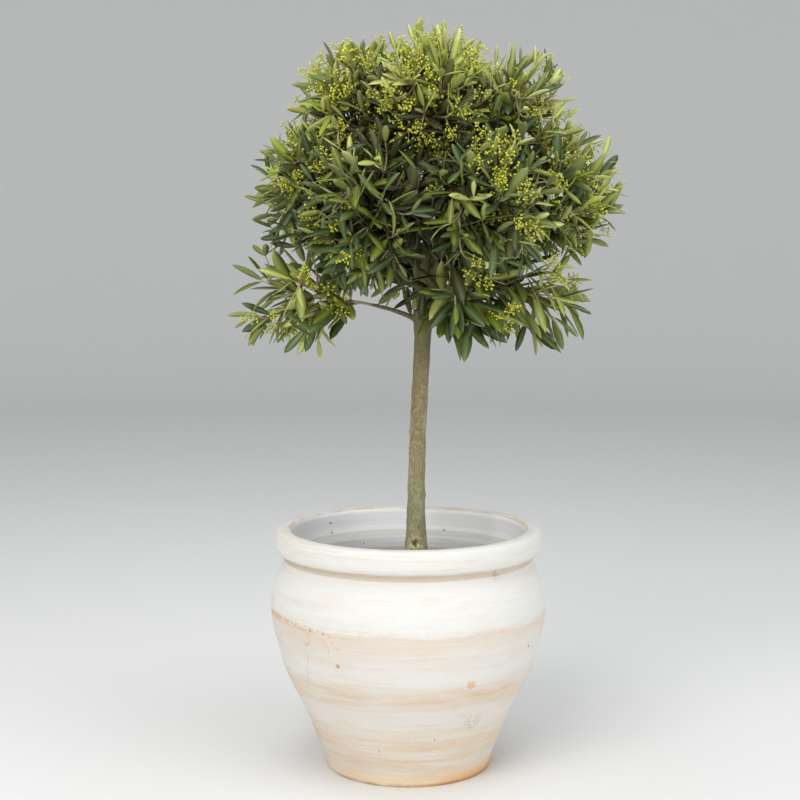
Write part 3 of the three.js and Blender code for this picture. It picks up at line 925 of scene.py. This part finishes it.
leaf = {
    "length": 0.054,
    "pairStep": 0.0175,
    "angle": 66,
    "tipAngle": 30,
    "angleStray": (0.75, 1.35),
    "turnStray": 0.7,
    "tipSize": 0.68,
    "sizeStray": (0.72, 1.22),
    "young": 0.82,  # the length of a young leaf against a grown one
    "width": (0.70, 1.08),
    "tilt": 1.6,
    "edgeOn": 0.0833,  # a leaf that nearly points where it would face is turned another way
    "shorter": (1, 0.8, 0.64),  # the lengths that are tried where limbs or the edge are near
    "tipRoom": 0.001,
    "middle": (0.55, 0.0035),  # the middle's share of the length, and its room
    "lift": 0.60,  # how far the leaves follow the mass's lift
    "hang": 1.1,  # the same for the low masses, whose leaves hang
    "low": 1.36,  # and are this much longer and further apart
    "lowStep": 1.35,
    "sink": 0.0006,
    "overlap": 0.026,
    "old": 0.006,  # share of leaves that have turned yellow
    "shadedInner": 0.145,  # the leaves about this near to the crown's heart take the dark tone of painted shade
    "innerStray": (0.8, 1.1),
    "odd": 0.35,  # share of leaves that differ in tone from their spray
    "fresh": 0.24,  # share of young sprays that are bright green
    "deep": 0.40,  # shares of the sprays that aren't young; the rest are grey
    "olive": 0.40,
}
panicle = {
    "length": 0.036,
    "lengthStray": (0.75, 1.25),
    "perSpray": 5,
    "axil": 0.42,  # share of axils that bear one
    "first": 0.93,
    "step": 0.13,
    "angle": 0.75,
    "turn": 1.57,
    "lift": 0.12,
    "room": 0.002,
    "tilt": 6,
}


def lifted(direction, lift):
    return (direction + up * lift).normalized()


# One of the numbers below the count.
def pick(random, count):
    return int(random() * (count - 0.001))


# The tips of the sprays are spread evenly through the space, and taken from the inside out.
def sprayTips(mass, balls, random):
    centre, reach = Vector(mass["centre"]), Vector(mass["reach"])
    room = spray["spacing"] * mass["loose"]
    tips = []
    for i in range(spray["tries"]):
        offset = Vector([2 * random() - 1 for axis in range(3)])
        tip = centre + offset * reach
        if (offset.length >= spray["hollow"] and inSpace(mass, tip, spray["tipRoom"], spray["overlap"])
                and clearOfLimbs(balls, tip, spray["limbRoom"])
                and all((tip - other).length > room for other in tips)):
            tips.append(tip)
    return sorted(tips, key=lambda tip: (tip - centre).length)


# Each spray springs from the twig or spray that reaches its tip by the shortest and straightest way.
def growSprays(mass, twigs, balls, random):
    sprays = [{"line": line, "radius": spray["twigRadius"]} for line in twigs]
    joints = [(line, share) for line in twigs for share in spray["twigJoints"]]
    weights = spray["ending"]
    atTip, atRoot, rootPart = spray["bend"]

    def cost(joint, tip):
        way = tip - joint[0].at(joint[1])
        return way.length * (spray["straight"] - way.normalized().dot(joint[0].along(joint[1])))
    for tip in sprayTips(mass, balls, random):
        line, share = min(joints, key=lambda joint: cost(joint, tip))
        root, along = line.at(share), line.along(share)
        length = (tip - root).length
        if not spray["shortest"] <= length <= spray["longest"]:
            continue
        outward = (tip - Vector(spray["heart"])).normalized()
        wander = Vector([random() - 0.5 for axis in range(3)])
        ending = outward * weights["out"] + (tip - root).normalized() * weights["onward"]
        ending += up * (mass["lift"] * weights["lift"] + weights["up"]) + wander * weights["wander"]
        bend = (tip - ending.normalized() * length * atTip).lerp(root + along * length * atRoot, rootPart)
        grown = bentLine(root, bend, tip, 6)
        sprays.append({"line": grown, "radius": spray["radius"]})
        joints += [(grown, part) for part in spray["joints"]]
    for one in sprays:
        one["tone"] = sprayTone(mass, random)
        one["bare"] = max(0.1, 1 - spray["leafy"] / one["line"].length)
    return sprays


def sprayTone(mass, random):
    if random() < mass["young"]:
        return "fresh" if random() < leaf["fresh"] else "sage"
    draw = random()
    return "deep" if draw < leaf["deep"] else "olive" if draw < leaf["deep"] + leaf["olive"] else "grey"


# A leaf's frame: its length along y, its width along x, and its upper side towards z, which
# turns partly to the shoot's tip and partly to the sky.
def leafFrame(root, direction, along, length, tilt, width=1):
    across = direction.cross(along + up)
    if across.length < leaf["edgeOn"]:
        across = direction.cross(Vector((1, 0, 0)))
    across = Matrix.Rotation(tilt, 3, direction) @ across.normalized()
    frame = Matrix((across * width, direction, across.cross(direction))).transposed().to_4x4()
    return Matrix.Translation(root - direction * leaf["sink"]) @ frame @ Matrix.Scale(length, 4)


def growLeaves(mass, grown, balls, random):
    line = grown["line"]
    leaves = []
    low = mass["lift"] < 0
    young = grown["tone"] in ("fresh", "sage")
    lift = mass["lift"] * leaf["hang" if low else "lift"]
    longest = leaf["length"] * (leaf["low"] if low else 1) * (leaf["young"] if young else 1)
    step = leaf["pairStep"] * (leaf["lowStep"] if low else 1)
    count = max(2, round(line.length * (1 - grown["bare"]) / step) + 1)
    middle, room = leaf["middle"]

    def toneAt(root):
        tone = "old" if random() < leaf["old"] and not young else grown["tone"]
        if random() < leaf["odd"] and tone in ("deep", "olive", "grey"):
            tone = ("olive", "grey", "deep")[pick(random, 3)]
        near = leaf["shadedInner"] * lerp(*leaf["innerStray"], random())
        # leaves near the crown's heart take the dark tone of painted shade
        return "shadedInner" if (root - Vector(spray["heart"])).length < near else tone

    def tryLeaf(share, angle, turn, size):
        along, root = line.along(share), line.at(share)
        direction = lifted(aside(along, angle, turn), lift)
        for shorter in leaf["shorter"]:
            length = longest * size * shorter
            tip = root + direction * length
            if (inSpace(mass, tip, 0, leaf["overlap"]) and clearOfLimbs(balls, tip, leaf["tipRoom"])
                    and clearOfLimbs(balls, root + direction * length * middle, room)):
                tone = toneAt(root)
                tilt = (random() - 0.5) * leaf["tilt"]
                matrix = leafFrame(root, direction, along, length, tilt, lerp(*leaf["width"], random()))
                leaves.append((pick(random, 4), matrix, tone))
                return
    turned = random() * math.pi
    for pair in range(count):
        share = 1 - (1 - grown["bare"]) * pair / (count - 1)
        spread = lerp(leaf["tipAngle"], leaf["angle"], min(pair / 2.5, 1))
        size = lerp(leaf["tipSize"], 1, min(pair / 2, 1))
        for side in (0, 1):
            angle = math.radians(spread) * lerp(*leaf["angleStray"], random())
            turn = turned + pair * math.pi / 2 + side * math.pi + (random() - 0.5) * leaf["turnStray"]
            tryLeaf(share, angle, turn, size * lerp(*leaf["sizeStray"], random()))
    return leaves


def growPanicles(mass, grown, random):
    line = grown["line"]
    sprigs = []
    if random() > mass["bloom"]:
        return sprigs
    turned = random() * math.pi
    for i in range(panicle["perSpray"]):
        share = panicle["first"] - panicle["step"] * i
        if share < grown["bare"] or random() > panicle["axil"]:
            continue
        turn = turned + i * panicle["turn"] + (i % 2) * math.pi
        root, along = line.at(share), line.along(share)
        direction = lifted(aside(along, panicle["angle"], turn), panicle["lift"])
        length = panicle["length"] * lerp(*panicle["lengthStray"], random())
        if inSpace(mass, root + direction * length, panicle["room"], leaf["overlap"]):
            matrix = leafFrame(root, direction, along, length, random() * panicle["tilt"])
            sprigs.append((matrix, random()))
    return sprigs


leafOutline = [(0, 0.065), (0.06, 0.09), (0.20, 0.58), (0.42, 0.94), (0.66, 1.0), (0.87, 0.68), (1, 0.07)]
leafSection = {"halfWidth": 0.132, "fold": 0.22, "rib": 0.08, "thickness": 0.012}
leafBends = [(0.02, 0.0), (0.10, 0.25), (0.20, -0.2), (-0.07, 0.15)]  # droop and twist of each kind


# A leaf of unit length: a five-sided prism whose sides become the two halves of the upper
# side, the midrib between them, and the two halves of the underside.
def leafShape(droop, twist):
    bm = bmesh.new()
    bmesh.ops.create_cone(bm, cap_ends=True, segments=5, radius1=1, radius2=1, depth=1)
    lengthwise = [edge for edge in bm.edges if abs(edge.verts[0].co.z - edge.verts[1].co.z) > 0.5]
    bmesh.ops.subdivide_edges(bm, edges=lengthwise, cuts=len(leafOutline) - 2)
    bm.verts.ensure_lookup_table()
    first = math.atan2(bm.verts[0].co.y, bm.verts[0].co.x)
    corners = {}
    for vert in bm.verts:
        corner = round((math.atan2(vert.co.y, vert.co.x) - first) / (2 * math.pi / 5)) % 5
        corners[vert] = corner
        share, width = leafOutline[round((vert.co.z + 0.5) * (len(leafOutline) - 1))]
        half = leafSection["halfWidth"] * width
        rib = min(half, leafSection["halfWidth"] * leafSection["rib"])
        thick = leafSection["thickness"] * (0.5 + width * 0.5)
        x, z = [(-half, half * leafSection["fold"]), (0, -thick), (half, half * leafSection["fold"]),
                (rib, thick * 0.2), (-rib, thick * 0.2)][corner]
        turn = twist * share
        x, z = x * math.cos(turn) - z * math.sin(turn), x * math.sin(turn) + z * math.cos(turn)
        vert.co = (x, share, z - droop * share * share)
    for face in bm.faces:
        sides = {corners[vert] for vert in face.verts}
        face.material_index = 0 if sides in ({0, 4}, {2, 3}) else 1 if sides == {3, 4} else 2
    bmesh.ops.recalc_face_normals(bm, faces=bm.faces[:])
    return bm


def addStalk(bm, start, end, radius):
    reach = end - start
    place = Matrix.Translation(start.lerp(end, 0.5)) @ reach.to_track_quat("Z", "Y").to_matrix().to_4x4()
    bmesh.ops.create_cone(bm, cap_ends=True, segments=3, radius1=radius, radius2=radius * 0.8,
                          depth=reach.length, matrix=place)


def addBud(bm, place, size, slot, shape=(1, 1, 1), facing=Matrix.Identity(4)):
    matrix = Matrix.Translation(place) @ facing @ Matrix.Diagonal((*shape, 1))
    made = bmesh.ops.create_icosphere(bm, subdivisions=1, radius=size, matrix=matrix)
    for face in {face for vert in made["verts"] for face in vert.link_faces}:
        face.material_index = slot


sprig = {
    "stalk": 0.016,
    "sideStalk": 0.012,
    "tipBud": 0.040,
    "pairs": 5,
    "first": 0.26,
    "step": 0.155,
    "droop": 0.06,
    "turnStray": 0.5,
    "forward": 0.55,
    "reach": (0.30, 0.12),  # of the side stalks, from the first pair to the last
    "reachStray": (0.8, 1.2),
    "buds": (0.032, 0.043),
    "sideBuds": [(0.68, (0.040, 0.055, 0.035), 0.037), (0.76, (-0.050, 0.02, -0.045), 0.034)],
    "full": 3,  # the first pairs, which have side buds
    "petals": 4,
    "petal": 0.05,
    "petalPlace": (0.05, 0, 0.02),
    "petalShape": (1, 0.62, 0.3),
}


# A panicle of unit length: a stalk with pairs of side stalks that end in buds, with a few open
# flowers where the share of open ones is above 0.
def panicleShape(seed, openShare):
    random = seededRandom(seed)
    bm = bmesh.new()
    tip = Vector((0, 1, -sprig["droop"]))
    addStalk(bm, Vector((0, 0, 0)), tip, sprig["stalk"])
    addBud(bm, tip, sprig["tipBud"], 1)
    for pair in range(sprig["pairs"]):
        share = sprig["first"] + sprig["step"] * pair
        root = Vector((0, share, -sprig["droop"] * share * share))
        for side in (0, 1):
            turn = pair * math.pi / 2 + side * math.pi + random() * sprig["turnStray"]
            out = Vector((math.cos(turn), sprig["forward"], math.sin(turn))).normalized()
            reach = lerp(*sprig["reach"], pair / (sprig["pairs"] - 1))
            end = root + out * reach * lerp(*sprig["reachStray"], random())
            addStalk(bm, root, end, sprig["sideStalk"])
            if random() < openShare:
                facing = out.to_track_quat("Z", "Y").to_matrix().to_4x4()
                for petal in range(sprig["petals"]):
                    spin = facing @ Matrix.Rotation(petal * 2 * math.pi / sprig["petals"], 4, "Z")
                    place = end + spin.to_3x3() @ Vector(sprig["petalPlace"])
                    addBud(bm, place, sprig["petal"], 2, sprig["petalShape"], spin)
                continue
            addBud(bm, end, lerp(*sprig["buds"], random()), 1)
            for part, offset, size in sprig["sideBuds"] if pair < sprig["full"] else []:
                addBud(bm, root.lerp(end, part) + Vector(offset), size, 1)
    return bm


def asLists(bm):
    bm.verts.index_update()
    verts = [vert.co.copy() for vert in bm.verts]
    faces = [[vert.index for vert in face.verts] for face in bm.faces]
    slots = [face.material_index for face in bm.faces]
    bm.free()
    return verts, faces, slots


# One mesh of many copies: each copy is a shape, its matrix and the slot that its first material
# takes.
def joinedCopies(name, shapes, copies, materials):
    verts, faces, slots = [], [], []
    for kind, matrix, firstSlot in copies:
        shapeVerts, shapeFaces, shapeSlots = shapes[kind]
        start = len(verts)
        verts += [matrix @ vert for vert in shapeVerts]
        faces += [[start + i for i in face] for face in shapeFaces]
        slots += [firstSlot + slot for slot in shapeSlots]
    mesh = bpy.data.meshes.new(name)
    mesh.from_pydata(verts, [], faces)
    piece = pieceFrom(name, mesh, materials)
    mesh.polygons.foreach_set("material_index", slots)
    return piece


# Tapering tubes along lines, with closed ends, as one mesh.
def tubes(name, lines, sidesLevel):
    curve = bpy.data.curves.new(name, "CURVE")
    curve.dimensions = "3D"
    curve.bevel_depth = 1
    curve.bevel_resolution = sidesLevel
    curve.use_fill_caps = True
    for line, radiusAt, count in lines:
        spline = curve.splines.new("POLY")
        spline.points.add(count)
        for i, point in enumerate(spline.points):
            point.co = (*line.at(i / count), 1)
            point.radius = radiusAt(i / count)
    holder = intoScene(name, curve)
    mesh = shownMesh(holder)
    bpy.data.objects.remove(holder)
    bm = bmesh.new()
    bm.from_mesh(mesh)
    bmesh.ops.remove_doubles(bm, verts=bm.verts[:], dist=sameSpot)
    bmesh.ops.recalc_face_normals(bm, faces=bm.faces[:])
    bm.to_mesh(mesh)
    bm.free()
    return mesh


scar = {  # a pruned shoot low on the front: a hollow in a ragged lip
    "height": 0.2990,
    "turn": -1.66,
    "size": 0.0044,
    "ragged": (0.0016, 420),
    "lip": (0.0024, 1.6, 0.6),  # height, place and width, and the hollow's depth and width
    "hollow": (0.0030, 0.8),
    "fold": (0.6, 0.9, 260),
}
knots = [(0.389, -2.5, 0.0042), (0.362, -0.2, 0.0040), (0.446, 3.0, 0.0038), (0.505, -0.9, 0.0036),
         (0.333, 1.9, 0.0040), (0.540, 1.2, 0.0034)]  # height, turn about the stem, and size
bark = {
    "rings": {"trunk": 60, "bough": 24},
    "voxel": 0.00115,
    "smoothing": 4,
    "furrow": 0.00035,
    "furrowScale": (260, 260, 70),
    "furrowNoise": (0.8, 2.1, 3),
    "lump": 0.0007,
    "lumpScale": 60,
    "knot": 0.0014,
    "plainFoot": 0.002,
}


def onStem(line, radiusAt, height, turn):
    bottom, top = line.at(0).z, line.at(1).z
    share = (height - bottom) / (top - bottom)
    return line.at(share) + Vector((math.cos(turn), math.sin(turn), 0)) * radiusAt(share)


def bump(distance):
    return math.exp(-distance ** 2)


def scarRelief(place, centre):
    ragged, raggedScale = scar["ragged"]
    lip, lipPlace, lipWidth = scar["lip"]
    hollow, hollowWidth = scar["hollow"]
    even, uneven, foldScale = scar["fold"]
    away = ((place - centre).length + ragged * noise.noise(place * raggedScale)) / scar["size"]
    fold = even + uneven * noise.noise(place * foldScale)
    return lip * fold * bump((away - lipPlace) / lipWidth) - hollow * bump(away / hollowWidth)


def buildBark(limbs, scarPlace, material):
    lines = []
    for name, limb in limbs.items():
        rings = bark["rings"]["trunk" if name == "trunk" else "bough"]
        lines.append((limb["line"], limb["radiusAt"], rings))
    piece = pieceFrom("olive_trunk_and_boughs", tubes("olive_bark", lines, 6), [])
    remesh = piece.modifiers.new("grown together", "REMESH")
    remesh.mode = "VOXEL"
    remesh.voxel_size = bark["voxel"]
    smooth = piece.modifiers.new("soft forks", "SMOOTH")
    smooth.iterations = bark["smoothing"]
    grown = shownMesh(piece)
    piece.modifiers.clear()
    piece.data = grown
    grown.materials.append(material)
    line, radiusAt = limbs["trunk"]["line"], limbs["trunk"]["radiusAt"]
    knotPlaces = [(onStem(line, radiusAt, height, turn), size) for height, turn, size in knots]
    normals = [vert.normal.copy() for vert in grown.vertices]
    for vert, out in zip(grown.vertices, normals):
        place = vert.co
        if place.z <= line.at(0).z + bark["plainFoot"]:
            continue
        rise = bark["furrow"] * noise.fractal(place * Vector(bark["furrowScale"]), *bark["furrowNoise"])
        rise += bark["lump"] * noise.noise(place * bark["lumpScale"]) + scarRelief(place, scarPlace)
        for centre, size in knotPlaces:
            rise += bark["knot"] * bump((place - centre).length / size)
        vert.co = place + out * rise
    grown.shade_smooth()
    dress(piece, "bark", "trunk", *(f"{name}_bough" for name in masses))


def growCrown(limbs):
    balls = limbBalls(limbs)
    crown = {}
    for index, (name, mass) in enumerate(masses.items()):
        random = seededRandom(index + 11)
        twigs = growTwigs(mass, limbs[name]["stem"], balls, random)
        sprays = growSprays(mass, twigs, balls, random)
        leaves, sprigs = [], []
        for grown in sprays:
            leaves += growLeaves(mass, grown, balls, random)
            sprigs += growPanicles(mass, grown, random)
        crown[name] = {"sprays": sprays, "leaves": leaves, "sprigs": sprigs}
    return crown


def buildTwigs(crown, limbs, material):
    lines = []
    for name, part in crown.items():
        tipRadius = limbs[name]["radiusAt"](1)
        for grown in part["sprays"]:
            isStem = grown["line"] is limbs[name]["stem"]
            root, end = (tipRadius, spray["radius"]) if isStem else (grown["radius"], spray["tipRadius"])
            taper = lambda share, root=root, end=end: lerp(root, end, share)
            lines.append((grown["line"], taper, 5))
    mesh = tubes("olive_twigs", lines, 1)
    dress(pieceFrom("olive_twigs", mesh, [material]), "bark")


def buildLeaves(crown, materials):
    shapes = [asLists(leafShape(*bend)) for bend in leafBends]
    for tier, names in tiers.items():
        copies = [(kind, matrix, 3 * toneOrder.index(tone))
                  for name in names for kind, matrix, tone in crown[name]["leaves"]]
        piece = joinedCopies(f"olive_leaves_{tier}", shapes, copies, materials)
        dress(piece, "leaves", *(f"{name}_foliage" for name in names))
        print(f"{tier}: {len(copies)} leaves")


panicleKinds = [(5, 0), (6, 0), (7, 0.45)]  # seed and share of open flowers
opening = {"masses": ("right", "top_right"), "share": 0.3}


def buildPanicles(crown, materials):
    shapes = [asLists(panicleShape(*kind)) for kind in panicleKinds]
    for tier, names in tiers.items():
        copies = []
        for name in names:
            for matrix, draw in crown[name]["sprigs"]:
                isOpen = name in opening["masses"] and draw > 1 - opening["share"]
                copies.append((2 if isOpen else int(draw * 1.999), matrix, 0))
        dress(joinedCopies(f"olive_panicles_{tier}", shapes, copies, materials), "leaves")
        print(f"{tier}: {len(copies)} panicles")


setCamera()
setLights()
buildStudio()
print("studio is set")
buildPot(whitewashedClay())
print("pot is built")
buildSoil(patchyMaterial("potting_soil", soilFinish), seededRandom(3))
print("soil is built")
limbs = growLimbs()
scarSpot = onStem(limbs["trunk"]["line"], limbs["trunk"]["radiusAt"], scar["height"], scar["turn"])
buildBark(limbs, scarSpot, oliveBark(scarSpot))
print("bark is built")
crown = growCrown(limbs)
print("crown is grown")
buildTwigs(crown, limbs, patchyMaterial("twig_bark", twigFinish))
buildLeaves(crown, leafMaterials())
buildPanicles(crown, bloomMaterials())
